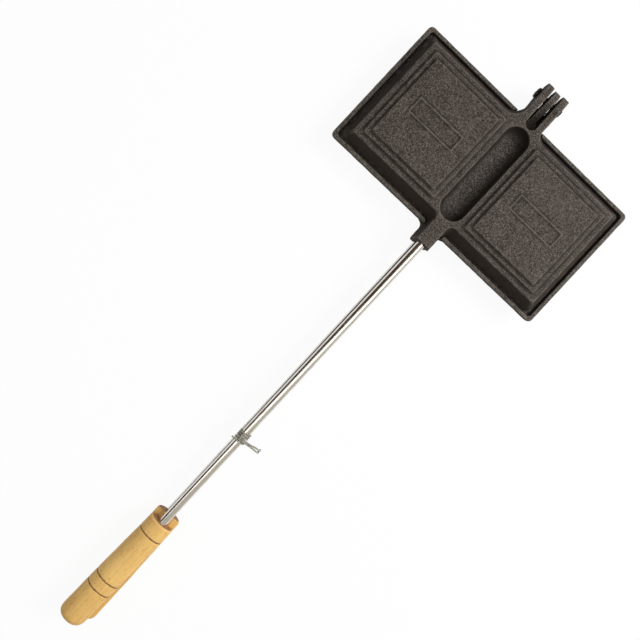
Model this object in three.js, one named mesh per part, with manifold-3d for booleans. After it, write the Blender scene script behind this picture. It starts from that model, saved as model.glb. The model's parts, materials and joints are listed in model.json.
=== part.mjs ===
// Double sandwich iron: two nested cast plates on a riveted knuckle hinge, each with a steel rod
// and a half-round wooden grip, and a wire latch on the upper rod.
// Millimetres, +Z up. +Y runs from the grips to the hinge and +X runs across the plates.
// The origin is on the surface that the iron lies on, under the middle of its outline.

import * as THREE from 'three';
import { mergeVertices } from 'three/addons/utils/BufferGeometryUtils.js';
import Module from 'manifold-3d';

const wasm = await Module();
wasm.setup();

// Clearances and small shop values
const seatGap = 0.3; // between a piece and its seat or bearing
const partingGap = 0.3; // between the mating faces of the closed plates
const overrun = 1; // how far a cutter runs past the face that it cuts
const sink = 0.4; // how far a joined form sinks into what carries it

// Rim of the lower plate, which the upper plate nests in: half sizes in plan
const rimX = 124.1;
const rimY = 66.3;
const rimRadius = 4.5;
const rimWidthX = 4.4;
const rimWidthY = 3.9;
const rimInnerRadius = 3;
const rimHeight = 4; // above the parting plane
const rimEdgeRound = 0.9;
const flangeThickness = 4; // below the parting plane
const flangeDraft = 1.2; // how far the flange leans in over its thickness
const rimEndGap = 0.8; // from the rim's ends to the upper plate's socket and arms

// Cast plates, heights from the parting plane outwards
const nestGap = 2.5; // from the rim to the foot of the upper plate's sloping wall
const plateFootX = rimX - rimWidthX - nestGap;
const plateFootY = rimY - rimWidthY - nestGap;
const plateFootHeight = 4;
const plateFootRadius = 4;
const wallLean = 6.7; // how far the sloping wall leans in over its height
const ledgeX = plateFootX - wallLean; // outer edge of the flat ledge on top of the wall
const ledgeY = plateFootY - wallLean;
const ledgeHeight = 15.5;
const ledgeRadius = 2.5;
const ledgeEdgeRound = 0.7;

// Trough between the panels, on the outside of each plate
const troughHalfWidth = 12.4;
const troughEndGap = 0.6; // from the trough's end to the ledge's edge
const troughHalfLength = ledgeY - troughEndGap;
const troughFloor = 4; // height of the trough's floor above the parting plane
const troughFloorHalf = 3.2;

// Two stepped panels on each plate, with flat ledges round them
const ledgeWidthX = 5;
const ledgeWidthY = 4.6;
const ledgeBesideTrough = 4.9;
const stepHeight = 2;
const stepSlope = 1.6; // how far a step leans back over its height
const panelInnerX = troughHalfWidth + ledgeBesideTrough; // foot of the first step
const panelOuterX = ledgeX - ledgeWidthX;
const panelY = ledgeY - ledgeWidthY;
const panelStepInset = 5.2; // from the first step to the second
const panelRadius = 2.2;

// Hollow under each panel, where a sandwich lies
const mouthInset = 6; // mating land between the plate's foot and the hollow
const dividerHalf = 9; // half of the land between the two hollows
const roofThickness = 4.6;
const wallInset = 4.9; // from the ledge's edge to the hollow's wall under it
const dividerWall = 4.4; // iron between the trough and a hollow
const hollowStepInset = 3.6;
const hollowRadius = 5;

// Blank cast frame in the middle of each upper panel
const frameLength = 52;
const frameWidth = 17.6;
const frameLine = 1.5;
const frameHeight = 0.8;

// Rod socket at the handle side of each plate
const socketPastRim = 16.1;
const socketEndY = rimY + socketPastRim;
const socketFootHalf = 9.5;
const socketTopHalf = 7.7;
const socketFillet = 5.5;
const socketEdgeRound = 1.2;
const socketDepth = 24;

// Knuckle hinge
const hingeShift = 0.5; // the hinge sits a little to +X of the plates' middle
const pinPastRim = 24.3;
const pinY = rimY + pinPastRim;
const pinRadius = 3;
const earReach = 12.6; // from the pin's axis to the tip
const earWidth = 7.2;
const slotHalf = 5.5; // half of the slot between the ears
const slotIntoPlate = 4.6; // from the foot of the plate's wall to the slot's end
const slotEndY = plateFootY - slotIntoPlate;
const armFilletLeft = 15;
const armFilletRight = 9;
const armPastRim = 1.3; // where the ears begin to drop past the lower plate
const armUndersideY = rimY + armPastRim;
const armTopInRim = 4.3; // where the arms' flat tops end
const armTopY = rimY - armTopInRim;
const armDraft = 0.5;
const lugHalf = 3.3;
const lugReach = 11.6;
const lugFillet = 1.4;
const lugPastRim = 0.7; // where the lug begins to rise past the lower plate
const lugTopY = rimY + lugPastRim;
const knuckleTipRound = 1.5;
const webHalf = 5.1; // half of the web that fills the slot at the lug's root
const webEndY = rimY + 17;
const webDrop = 6.5; // from the parting plane to the web's top at its end
const webFillet = 0.8;

// Rivet
const rivetHeadRadius = 5.4;
const rivetHeadHeight = 3;
const rivetTailRadius = 3.9;
const rivetTailHeight = 1.9;

// Rods
const rodRadius = 4;
const rodHeight = 7.5; // rod axis above the parting plane
const rodChamfer = 0.8;
const upperRodFree = 339.6; // from the socket to the upper grip
const gripStagger = 7.2; // how much nearer the plates the lower grip sits
const lowerRodFree = upperRodFree - gripStagger;
const rodSeatInGrip = 70;
const lowerRodYaw = THREE.MathUtils.degToRad(0.17); // the lower rod leans a little towards +X
const upperRodShift = 1.6; // from the plates' middle, at the socket's mouth
const lowerRodShift = 0.3;

// Half-round wooden grips
const gripLength = 121;
const gripHalfWidth = 13;
const gripFlat = 1; // height of the flat side above the parting plane
const gripWidestHeight = 3.6;
const gripRise = 11.4; // from the widest height to the crown
const gripFlatChamfer = 0.8;
const gripMouthChamfer = 1.4;
const gripEndRadius = 8;
const gripTaper = 0.5; // how much slimmer the grip is at its mouth
const upperGripSkew = THREE.MathUtils.degToRad(-1.55); // a hand-drilled bore is a degree off the wood
const lowerGripSkew = THREE.MathUtils.degToRad(-0.54);
const upperGripShift = -0.2; // from the rod to the middle of the wood, at the grip's mouth
const lowerGripShift = 0.3;
const grooveDepth = 0.55;
const grooveHalfWidth = 0.85;
const groovePlaces = [15, 69.5, 81]; // from the grip's mouth

// Brad that locks a grip on its rod
const bradRadius = 1.2;
const bradPlace = 30; // from the grip's mouth
const bradPoint = 1.2;
const bradPastRod = 1.4;

// Wire latch on the upper rod
const wireRadius = 0.75;
const latchPlace = 234; // from the socket to the middle of the latch
const eyeClearance = 0.4;
const coilHalf = 5.2; // half of the length of rod that the turns of wire cover
const coilTurns = 3; // turns on the plates' side of the legs, with one on the other side
const legRootShift = -2.2; // the legs leave the rod near the grips' end of the turns
const legRootHalf = 1; // half of the distance between the two legs at the rod
const legWaistReach = 10; // where the two legs lie closest together
const legWaistHalf = 0.8;
const legTipHalf = 1.2;
const legTipShift = -0.2; // the legs lean towards the plates
const jawClearance = 0.3;
const jawDrop = 8;
const jawBend = 2;
const stubReach = 8;

// Facets
const cornerSteps = 5;
const filletSteps = 6;
const troughSteps = 12;
const troughLevels = 7;
const knuckleSteps = 22;
const roundSteps = 32;
const boreSteps = 24;
const gripArcSteps = 18;
const gripEndSteps = 5;
const edgeRoundSteps = 2;
const wireSides = 8;
const wireSteps = 150;
const eyeSteps = 12;

// Sizes that follow
const halfParting = partingGap / 2;
const flip = new THREE.Matrix4().makeRotationY(Math.PI); // turns an upper form into a lower one
const firstStepTop = ledgeHeight + stepHeight;
const panelHeight = firstStepTop + stepHeight;
const armHalf = slotHalf + earWidth;
const boreRadius = rodRadius + seatGap;
const gripMouthY = socketEndY + upperRodFree;
const hingeTipY = pinY + earReach;
const gripFarY = gripMouthY + gripLength;

// Materials
const iron = new THREE.MeshStandardMaterial({ color: 0x57504b, roughness: 0.82, metalness: 0.35 });
const plated = new THREE.MeshStandardMaterial({ color: 0xc9c5bd, roughness: 0.28, metalness: 0.95 });
const darkSteel = new THREE.MeshStandardMaterial({ color: 0x4a443f, roughness: 0.6, metalness: 0.6 });
const wood = new THREE.MeshStandardMaterial({ color: 0xd9b878, roughness: 0.7, metalness: 0 });

// A three.js geometry as a solid that can be joined and cut
function solid(geometry) {
  const bare = geometry.clone();
  bare.deleteAttribute('normal');
  bare.deleteAttribute('uv');
  const merged = mergeVertices(bare);
  return new wasm.Manifold(new wasm.Mesh({
    numProp: 3,
    vertProperties: new Float32Array(merged.attributes.position.array),
    triVerts: new Uint32Array(merged.index.array),
  }));
}

// A solid back as a three.js geometry
function geometryOf(body) {
  const mesh = body.getMesh();
  const geometry = new THREE.BufferGeometry();
  geometry.setAttribute('position', new THREE.BufferAttribute(mesh.vertProperties, mesh.numProp));
  geometry.setIndex(new THREE.BufferAttribute(mesh.triVerts, 1));
  geometry.computeVertexNormals();
  return geometry;
}

// Points along an arc, both ends included
function arc(centreX, centreY, radius, from, to, steps) {
  const points = [];
  for (let i = 0; i <= steps; i++) {
    const angle = from + (to - from) * i / steps;
    points.push(new THREE.Vector2(centreX + radius * Math.cos(angle), centreY + radius * Math.sin(angle)));
  }
  return points;
}

// A rectangle with round corners, counter-clockwise
function roundedRectangle(halfX, halfY, radius, centreX = 0, centreY = 0) {
  const right = Math.PI / 2;
  const corners = [[1, 1], [-1, 1], [-1, -1], [1, -1]];
  return corners.flatMap(([signX, signY], corner) => {
    const from = corner * right;
    return arc(
      centreX + signX * (halfX - radius), centreY + signY * (halfY - radius),
      radius, from, from + right, cornerSteps);
  });
}

// A closed body through outlines with the same number of points, from the lowest level up
function loft(levels) {
  const count = levels[0].outline.length;
  const positions = [];
  for (const { outline, height } of levels) {
    for (const point of outline) positions.push(point.x, point.y, height);
  }
  const index = [];
  for (let level = 0; level < levels.length - 1; level++) {
    for (let i = 0; i < count; i++) {
      const low = level * count + i;
      const lowNext = level * count + (i + 1) % count;
      index.push(low, lowNext, lowNext + count, low, lowNext + count, low + count);
    }
  }
  const top = (levels.length - 1) * count;
  for (const [a, b, c] of THREE.ShapeUtils.triangulateShape(levels[0].outline, [])) index.push(c, b, a);
  for (const [a, b, c] of THREE.ShapeUtils.triangulateShape(levels.at(-1).outline, [])) {
    index.push(top + a, top + b, top + c);
  }
  const geometry = new THREE.BufferGeometry();
  geometry.setAttribute('position', new THREE.Float32BufferAttribute(positions, 3));
  geometry.setIndex(index);
  return geometry;
}

// A cylinder along Y from one place to another, at a height above the parting plane
function boreAlongY(fromY, toY, radius, height) {
  const geometry = new THREE.CylinderGeometry(radius, radius, Math.abs(toY - fromY), boreSteps);
  geometry.translate(0, (fromY + toY) / 2, height);
  return geometry;
}

// A turned body along X from its half profile of [place along X, radius]
function turnedAlongX(profile) {
  const outline = profile.map(([place, radius]) => new THREE.Vector2(radius, place));
  return new THREE.LatheGeometry(outline, roundSteps).rotateZ(-Math.PI / 2);
}

// Half size of the plate's outer wall at a height
function wallAt(height, foot, edge) {
  const share = THREE.MathUtils.clamp(
    (height - plateFootHeight) / (ledgeHeight - plateFootHeight), 0, 1);
  return foot + (edge - foot) * share;
}

// Outline of an arm that leaves the plate towards +Y and flares into it with a fillet each side
function flaredOutline(half, rootY, endY, filletLeft, filletRight, endRound = 0) {
  const right = Math.PI / 2;
  const corner = (x, y) => new THREE.Vector2(x, y);
  const end = endRound === 0 ? [corner(half, endY), corner(-half, endY)] : [
    ...arc(half - endRound, endY - endRound, endRound, 0, right, cornerSteps),
    ...arc(-half + endRound, endY - endRound, endRound, right, 2 * right, cornerSteps),
  ];
  return [
    corner(-half - filletLeft, 0),
    corner(half + filletRight, 0),
    ...arc(half + filletRight, rootY + filletRight, filletRight, -right, -2 * right, filletSteps),
    ...end,
    ...arc(-half - filletLeft, rootY + filletLeft, filletLeft, 0, -right, filletSteps),
  ];
}

// The same outline turned to leave the plate towards -Y
function towardsHandle(outline) {
  return outline.map((point) => new THREE.Vector2(-point.x, -point.y));
}

// Levels of a form with a round along its top edge
function topRound(radius, topHeight) {
  const levels = [];
  for (let i = 0; i <= edgeRoundSteps; i++) {
    const angle = Math.PI / 2 * i / edgeRoundSteps;
    levels.push({
      height: topHeight - radius * (1 - Math.sin(angle)),
      inset: radius * (1 - Math.cos(angle)),
    });
  }
  return levels;
}

// Sloping wall and ledge that both plates share
function plateBody() {
  const levels = [
    { outline: roundedRectangle(plateFootX, plateFootY, plateFootRadius), height: halfParting },
    { outline: roundedRectangle(plateFootX, plateFootY, plateFootRadius), height: plateFootHeight },
  ];
  for (const { height, inset } of topRound(ledgeEdgeRound, ledgeHeight)) {
    levels.push({
      outline: roundedRectangle(
        wallAt(height, plateFootX, ledgeX) - inset, wallAt(height, plateFootY, ledgeY) - inset, ledgeRadius),
      height,
    });
  }
  return loft(levels);
}

// One step of a panel, on the side of +X or -X
function panelStep(side, inset, baseHeight) {
  const centre = side * (panelInnerX + panelOuterX) / 2;
  const halfX = (panelOuterX - panelInnerX) / 2 - inset;
  const halfY = panelY - inset;
  return loft([
    { outline: roundedRectangle(halfX, halfY, panelRadius, centre), height: baseHeight - sink },
    { outline: roundedRectangle(halfX, halfY, panelRadius, centre), height: baseHeight },
    {
      outline: roundedRectangle(halfX - stepSlope, halfY - stepSlope, panelRadius, centre),
      height: baseHeight + stepHeight,
    },
  ]);
}

// The hollow under a panel follows its steps at an even wall
function hollow(side) {
  const level = (innerX, outerX, halfY, height) => ({
    outline: roundedRectangle(
      (outerX - innerX) / 2, halfY, hollowRadius, side * (innerX + outerX) / 2),
    height,
  });
  const mouthOuterX = plateFootX - mouthInset;
  const mouthY = plateFootY - mouthInset;
  const roofs = [0, 1, 2].map((step) => ledgeHeight - roofThickness + step * stepHeight);
  const levels = [
    level(dividerHalf, mouthOuterX, mouthY, -overrun),
    level(dividerHalf, mouthOuterX, mouthY, halfParting),
    level(troughHalfWidth + dividerWall, ledgeX - wallInset, ledgeY - wallInset, roofs[0]),
  ];
  for (const step of [0, 1]) {
    const inset = step * panelStepInset + hollowStepInset;
    const innerX = panelInnerX + inset;
    const outerX = panelOuterX - inset;
    const halfY = panelY - inset;
    levels.push(level(innerX, outerX, halfY, roofs[step]));
    levels.push(level(innerX + stepSlope, outerX - stepSlope, halfY - stepSlope, roofs[step + 1]));
  }
  return loft(levels);
}

// Trough with round ends and a round floor
function trough() {
  const right = Math.PI / 2;
  const depth = ledgeHeight - troughFloor;
  const levels = [];
  const level = (half, height) => {
    const straight = troughHalfLength - troughHalfWidth;
    levels.push({
      outline: [
        ...arc(0, straight, half, 0, 2 * right, troughSteps),
        ...arc(0, -straight, half, 2 * right, 4 * right, troughSteps),
      ],
      height,
    });
  };
  for (let i = 0; i <= troughLevels; i++) {
    const angle = right * i / troughLevels;
    const half = troughFloorHalf + (troughHalfWidth - troughFloorHalf) * Math.sin(angle);
    level(half, troughFloor + depth * (1 - Math.cos(angle)));
  }
  level(troughHalfWidth, ledgeHeight + overrun);
  return loft(levels);
}

// Rod socket, with its foot wider than its top and fillets that follow the plate's wall
function socket(rootAt, shift) {
  const halfAt = (height) => socketFootHalf
    + (socketTopHalf - socketFootHalf) * height / ledgeHeight;
  const level = (height, inset) => ({
    outline: towardsHandle(flaredOutline(
      halfAt(height) - inset, rootAt(height), socketEndY, socketFillet, socketFillet)),
    height,
  });
  return loft([
    level(halfParting, 0),
    level(plateFootHeight, 0),
    ...topRound(socketEdgeRound, ledgeHeight).map(({ height, inset }) => level(height, inset)),
  ]).translate(shift, 0, 0);
}

// Side view of a hinge arm: flat top, round tip about the pin, and an underside that drops to it
function knuckleProfile(reach, topY, undersideY) {
  const tangentAngle = (y, height, side) => {
    const offsetY = y - pinY;
    return Math.atan2(height, offsetY) - side * Math.acos(reach / Math.hypot(offsetY, height));
  };
  const topAngle = tangentAngle(topY, ledgeHeight, 1);
  const undersideAngle = tangentAngle(undersideY, halfParting, -1) - 2 * Math.PI;
  const outline = [
    new THREE.Vector2(0, halfParting),
    new THREE.Vector2(undersideY, halfParting),
    ...arc(pinY, 0, reach, undersideAngle, topAngle, knuckleSteps),
    new THREE.Vector2(topY, ledgeHeight),
    new THREE.Vector2(0, ledgeHeight),
  ];
  const width = 4 * (armHalf + armFilletLeft);
  const geometry = new THREE.ExtrudeGeometry(new THREE.Shape(outline), { depth: width, bevelEnabled: false });
  geometry.translate(0, 0, -width / 2);
  const axes = [new THREE.Vector3(0, 1, 0), new THREE.Vector3(0, 0, 1), new THREE.Vector3(1, 0, 0)];
  return geometry.applyMatrix4(new THREE.Matrix4().makeBasis(...axes));
}

// Arms that flare from the plate and end in round knuckles
function knuckle({ half, reach, topY, undersideY, rootAt, filletLeft, filletRight, shift }) {
  const level = (height, draft) => ({
    outline: flaredOutline(
      half - draft, rootAt(height), pinY + reach, filletLeft, filletRight, knuckleTipRound),
    height,
  });
  const flared = loft([
    level(-reach - overrun, 0),
    level(plateFootHeight, 0),
    level(ledgeHeight, armDraft),
  ]);
  return solid(flared.translate(shift, 0, 0))
    .intersect(solid(knuckleProfile(reach, topY, undersideY)));
}

// Slot between the ears, with a round end in the plate
function earSlot() {
  const right = Math.PI / 2;
  const outline = [
    new THREE.Vector2(slotHalf, hingeTipY + overrun),
    new THREE.Vector2(-slotHalf, hingeTipY + overrun),
    ...arc(0, slotEndY + slotHalf, slotHalf, 2 * right, 4 * right, troughSteps),
  ];
  return loft([
    { outline, height: -earReach - overrun },
    { outline, height: ledgeHeight + overrun },
  ]).translate(hingeShift, 0, 0);
}

// Hole for the rivet's shank
function pinBore() {
  const reach = armHalf + overrun;
  const radius = pinRadius + seatGap;
  return turnedAlongX([[-reach, 0], [-reach, radius], [reach, radius], [reach, 0]])
    .translate(0, pinY, 0);
}

// Frame of the rod and its grip: origin in the socket's mouth, on the rod's axis
function handleFrame(yaw, shift) {
  return new THREE.Matrix4().makeRotationZ(yaw).setPosition(shift, -socketEndY, rodHeight);
}

// Blind hole for a rod in its socket
function socketBore(yaw, shift) {
  return boreAlongY(-overrun, socketDepth + seatGap, boreRadius, 0)
    .applyMatrix4(handleFrame(yaw, shift));
}

// Blank raised frame on an upper panel
function castFrame(side) {
  const centre = side * (panelInnerX + panelOuterX) / 2;
  const outline = (inset) => roundedRectangle(
    frameLength / 2 - inset, frameWidth / 2 - inset, frameLine / 2, centre);
  const plateau = solid(loft([
    { outline: outline(0), height: panelHeight - sink },
    { outline: outline(0), height: panelHeight },
    { outline: outline(frameLine / 4), height: panelHeight + frameHeight },
  ]));
  const middle = solid(loft([
    { outline: outline(frameLine), height: panelHeight - sink - overrun },
    { outline: outline(frameLine), height: panelHeight + frameHeight + overrun },
  ]));
  return plateau.subtract(middle);
}

// What both castings share: body, panels, trough, hollows, socket and its bore
function casting(rootAt, yaw, rodShift) {
  let body = solid(plateBody()).add(solid(socket(rootAt, rodShift)));
  for (const side of [-1, 1]) {
    body = body.add(solid(panelStep(side, 0, ledgeHeight)));
    body = body.add(solid(panelStep(side, panelStepInset, firstStepTop)));
  }
  return { body, finish: (joined) => {
    let cut = joined.subtract(solid(trough())).subtract(solid(pinBore()));
    cut = cut.subtract(solid(socketBore(yaw, rodShift)));
    for (const side of [-1, 1]) cut = cut.subtract(solid(hollow(side)));
    return cut;
  } };
}

// Upper plate, with two ears and the blank frames
function upperPlate() {
  const rootAt = (height) => wallAt(height, plateFootY, ledgeY);
  const { body, finish } = casting(rootAt, 0, upperRodShift);
  const ears = knuckle({
    half: armHalf,
    reach: earReach,
    topY: armTopY,
    undersideY: armUndersideY,
    rootAt,
    filletLeft: armFilletLeft,
    filletRight: armFilletRight,
    shift: hingeShift,
  });
  let plate = finish(body.add(ears).subtract(solid(earSlot())));
  for (const side of [-1, 1]) plate = plate.add(castFrame(side));
  return geometryOf(plate);
}

// Rim that stands on the lower plate's flange, open where the upper plate's socket and arms pass
function rim() {
  const outline = (inset) => roundedRectangle(rimX - inset, rimY - inset, rimRadius - inset);
  const inner = roundedRectangle(rimX - rimWidthX, rimY - rimWidthY, rimInnerRadius);
  let ring = solid(loft([
    { outline: outline(0), height: -halfParting - sink },
    ...topRound(rimEdgeRound, rimHeight).map(({ height, inset }) => ({ outline: outline(inset), height })),
  ]));
  ring = ring.subtract(solid(loft([
    { outline: inner, height: -halfParting - sink - overrun },
    { outline: inner, height: rimHeight + overrun },
  ])));
  const passage = (outlineShape, shift) => solid(loft([
    { outline: outlineShape, height: -halfParting },
    { outline: outlineShape, height: rimHeight + overrun },
  ]).translate(shift, 0, 0));
  const arms = flaredOutline(
    armHalf + rimEndGap, plateFootY, rimY + armFilletLeft + overrun, armFilletLeft, armFilletRight);
  const handle = towardsHandle(flaredOutline(
    socketFootHalf + rimEndGap, plateFootY, rimY + socketFillet + overrun, socketFillet, socketFillet));
  return ring.subtract(passage(arms, hingeShift)).subtract(passage(handle, upperRodShift));
}

// Web at the root of the lug, which fills the slot between the ears and slopes down towards the pin
function lugWeb() {
  const level = (endY, height) => ({
    outline: flaredOutline(webHalf, rimY, endY, webFillet, webFillet),
    height,
  });
  const wedge = loft([
    level(rimY + webFillet + sink, halfParting),
    level(webEndY, webDrop),
    level(webEndY, ledgeHeight),
  ]).translate(-hingeShift, 0, 0);
  return solid(wedge).intersect(solid(knuckleProfile(lugReach, armTopY, lugTopY)));
}

// Lower plate: the shared casting turned over, with a flange, a rim and one middle lug
function lowerPlate() {
  const rootAt = (height) => (height > flangeThickness ? wallAt(height, plateFootY, ledgeY) : rimY);
  const { body, finish } = casting(rootAt, -lowerRodYaw, -lowerRodShift);
  const outline = (inset) => roundedRectangle(rimX - inset, rimY - inset, rimRadius - inset);
  const flange = loft([
    { outline: outline(0), height: halfParting },
    { outline: outline(flangeDraft), height: flangeThickness - rimEdgeRound },
    { outline: outline(flangeDraft + rimEdgeRound), height: flangeThickness },
  ]);
  const lug = knuckle({
    half: lugHalf,
    reach: lugReach,
    topY: armTopY,
    undersideY: lugTopY,
    rootAt: () => rimY,
    filletLeft: lugFillet,
    filletRight: lugFillet,
    shift: -hingeShift,
  });
  const turned = geometryOf(finish(body.add(solid(flange)).add(lug).add(lugWeb()))).applyMatrix4(flip);
  return geometryOf(solid(turned).add(rim()));
}

// Rivet with a domed head at -X and a smaller hammered tail at +X
function hingeRivet() {
  const headFace = -armHalf - seatGap;
  const tailFace = armHalf + seatGap;
  const profile = [[headFace - rivetHeadHeight, 0]];
  const domeShares = [[1, 0.55], [0.86, 0.8], [0.55, 0.96], [0.2, 1], [0, 0.97]];
  for (const [heightShare, radiusShare] of domeShares) {
    profile.push([headFace - rivetHeadHeight * heightShare, rivetHeadRadius * radiusShare]);
  }
  profile.push([headFace, pinRadius], [tailFace, pinRadius]);
  for (const [heightShare, radiusShare] of [...domeShares].reverse()) {
    profile.push([tailFace + rivetTailHeight * heightShare, rivetTailRadius * radiusShare]);
  }
  profile.push([tailFace + rivetTailHeight, 0]);
  return turnedAlongX(profile).translate(hingeShift, pinY, 0);
}

// A hole or a brad across a rod, at the brad's place in a grip
function acrossRod(radius, fromHeight, toHeight, rodFree) {
  const length = toHeight - fromHeight;
  const geometry = new THREE.CylinderGeometry(radius, radius, length, boreSteps).rotateX(Math.PI / 2);
  return geometry.translate(0, -rodFree - bradPlace, fromHeight + length / 2);
}

// Rod in the handle's frame, with chamfered ends and a cross hole for the brad
function rod(rodFree) {
  const start = socketDepth;
  const end = -rodFree - rodSeatInGrip;
  const profile = [
    [start, 0], [start, rodRadius - rodChamfer], [start - rodChamfer, rodRadius],
    [end + rodChamfer, rodRadius], [end, rodRadius - rodChamfer], [end, 0],
  ].map(([place, radius]) => new THREE.Vector2(radius, place));
  const body = solid(new THREE.LatheGeometry(profile.reverse(), roundSteps));
  const hole = acrossRod(bradRadius + seatGap, -rodRadius - overrun, rodRadius + overrun, rodFree);
  return geometryOf(body.subtract(solid(hole)));
}

// Section of a grip: flat below, half round above, drawn in by an inset on its turned side
function gripSection(inset) {
  const half = gripHalfWidth - inset;
  const crown = gripRise - inset;
  const flat = gripFlat - rodHeight;
  const widest = gripWidestHeight - rodHeight;
  const points = [
    new THREE.Vector2(-half + gripFlatChamfer, flat),
    new THREE.Vector2(half - gripFlatChamfer, flat),
    new THREE.Vector2(half, flat + gripFlatChamfer),
  ];
  for (let i = 0; i <= gripArcSteps; i++) {
    const angle = Math.PI * i / gripArcSteps;
    points.push(new THREE.Vector2(half * Math.cos(angle), widest + crown * Math.sin(angle)));
  }
  points.push(new THREE.Vector2(-half, flat + gripFlatChamfer));
  return points;
}

// Stations along a grip from its mouth: [place, inset]
function gripStations() {
  const taperAt = (place) => gripTaper * Math.max(0, 1 - 2 * place / gripLength);
  const stations = [[0, gripMouthChamfer + taperAt(0)], [gripMouthChamfer, taperAt(gripMouthChamfer)]];
  for (const place of groovePlaces) {
    stations.push([place - grooveHalfWidth, taperAt(place)]);
    stations.push([place, taperAt(place) + grooveDepth]);
    stations.push([place + grooveHalfWidth, taperAt(place)]);
  }
  for (let i = 0; i <= gripEndSteps; i++) {
    const angle = Math.PI / 2 * i / gripEndSteps;
    stations.push([
      gripLength - gripEndRadius * (1 - Math.sin(angle)),
      gripEndRadius * (1 - Math.cos(angle)),
    ]);
  }
  return stations;
}

// Grip in the handle's frame: turned outside, then drilled for the rod and the brad
function grip(rodFree, skew, shift) {
  const levels = gripStations().map(([place, inset]) => ({ outline: gripSection(inset), height: place }));
  const turned = loft(levels).rotateX(Math.PI / 2).rotateZ(skew).translate(shift, -rodFree, 0);
  const bore = boreAlongY(
    -rodFree + overrun + gripHalfWidth, -rodFree - rodSeatInGrip - seatGap, boreRadius, 0);
  const bradHole = acrossRod(
    bradRadius + seatGap, gripFlat - rodHeight - overrun, rodRadius + bradPastRod + seatGap, rodFree);
  return geometryOf(solid(turned).subtract(solid(bore)).subtract(solid(bradHole)));
}

// Brad, driven in from the flat side of the grip and through the rod
function brad(rodFree) {
  const head = gripFlat - rodHeight;
  const tip = rodRadius + bradPastRod;
  const profile = [[tip, 0], [tip - bradPoint, bradRadius], [head, bradRadius], [head, 0]]
    .map(([height, radius]) => new THREE.Vector2(radius, height));
  return new THREE.LatheGeometry(profile.reverse(), boreSteps)
    .rotateX(Math.PI / 2)
    .translate(0, -rodFree - bradPlace, 0);
}

// Latch: one wire, wound round the rod on each side of a narrow hook that points to +X.
// The hook's jaw bends down, so that it swings under the lower rod when the latch turns down.
function latchClip() {
  const eyeRadius = rodRadius + eyeClearance + wireRadius;
  const jawReach = 2 * rodHeight + rodRadius + jawClearance + wireRadius;
  const point = (x, y, z) => new THREE.Vector3(x, y, z);
  const points = [point(-stubReach, -coilHalf, eyeRadius)];
  const coil = (fromY, toY, turns, sense) => {
    const steps = turns * eyeSteps;
    for (let i = 0; i <= steps; i++) {
      const angle = 2 * Math.PI * i / eyeSteps;
      const y = fromY + (toY - fromY) * i / steps;
      points.push(point(sense * eyeRadius * Math.sin(angle), y, eyeRadius * Math.cos(angle)));
    }
  };
  coil(-coilHalf, legRootShift - legRootHalf, 1, 1);
  const waistShift = legRootShift + (legTipShift - legRootShift) * legWaistReach / jawReach;
  const leg = (sense) => {
    const y = legTipShift + sense * legTipHalf;
    return [
      point(legWaistReach, waistShift + sense * legWaistHalf, eyeRadius),
      point(jawReach - 2 * jawBend, y, eyeRadius),
      point(jawReach - jawBend / 2, y, eyeRadius - jawBend / 4),
      point(jawReach, y, eyeRadius - 2 * jawBend),
      point(jawReach, y, eyeRadius - jawDrop + legTipHalf),
    ];
  };
  points.push(...leg(-1));
  points.push(point(jawReach, legTipShift, eyeRadius - jawDrop));
  points.push(...leg(1).reverse());
  coil(legRootShift + legRootHalf, coilHalf, coilTurns, -1);
  const path = new THREE.CatmullRomCurve3(points, false, 'centripetal');
  const section = new THREE.Shape(arc(0, 0, wireRadius, 0, 2 * Math.PI, wireSides).slice(0, -1));
  return new THREE.ExtrudeGeometry(section, { extrudePath: path, steps: wireSteps })
    .translate(0, -latchPlace, 0);
}

function piece(name, geometry, material) {
  const mesh = new THREE.Mesh(geometry, material);
  mesh.name = name;
  return mesh;
}

// Rod, grip and brad in the frame of their socket
function handle(prefix, rodFree, { yaw, rodShift, skew, gripShift }) {
  const group = new THREE.Group();
  group.applyMatrix4(handleFrame(yaw, rodShift));
  group.add(
    piece(`${prefix}_rod`, rod(rodFree), plated),
    piece(`${prefix}_grip`, grip(rodFree, skew, gripShift), wood),
    piece(`${prefix}_grip_brad`, brad(rodFree), darkSteel),
  );
  return group;
}

const upperHandle = handle('upper', upperRodFree, {
  yaw: 0, rodShift: upperRodShift, skew: upperGripSkew, gripShift: upperGripShift,
});
upperHandle.add(piece('latch_clip', latchClip(), plated));

const lowerHandle = new THREE.Group();
lowerHandle.rotation.y = Math.PI;
lowerHandle.add(handle('lower', lowerRodFree, {
  yaw: -lowerRodYaw, rodShift: -lowerRodShift, skew: lowerGripSkew, gripShift: -lowerGripShift,
}));

const group = new THREE.Group();
group.position.set(0, (gripFarY - hingeTipY) / 2, panelHeight);
group.add(
  piece('upper_plate', upperPlate(), iron),
  piece('lower_plate', lowerPlate(), iron),
  piece('hinge_rivet', hingeRivet(), darkSteel),
  upperHandle,
  lowerHandle,
);

export default group;
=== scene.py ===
"""Dresses the packed sandwich iron: cast plates, plated rods, turned wooden grips, rivet and wire latch."""

import json
import logging
import math
from abc import ABC, abstractmethod
from dataclasses import dataclass
from enum import Enum

import bmesh
import bpy
import numpy as np
from mathutils import Matrix, Vector


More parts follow.
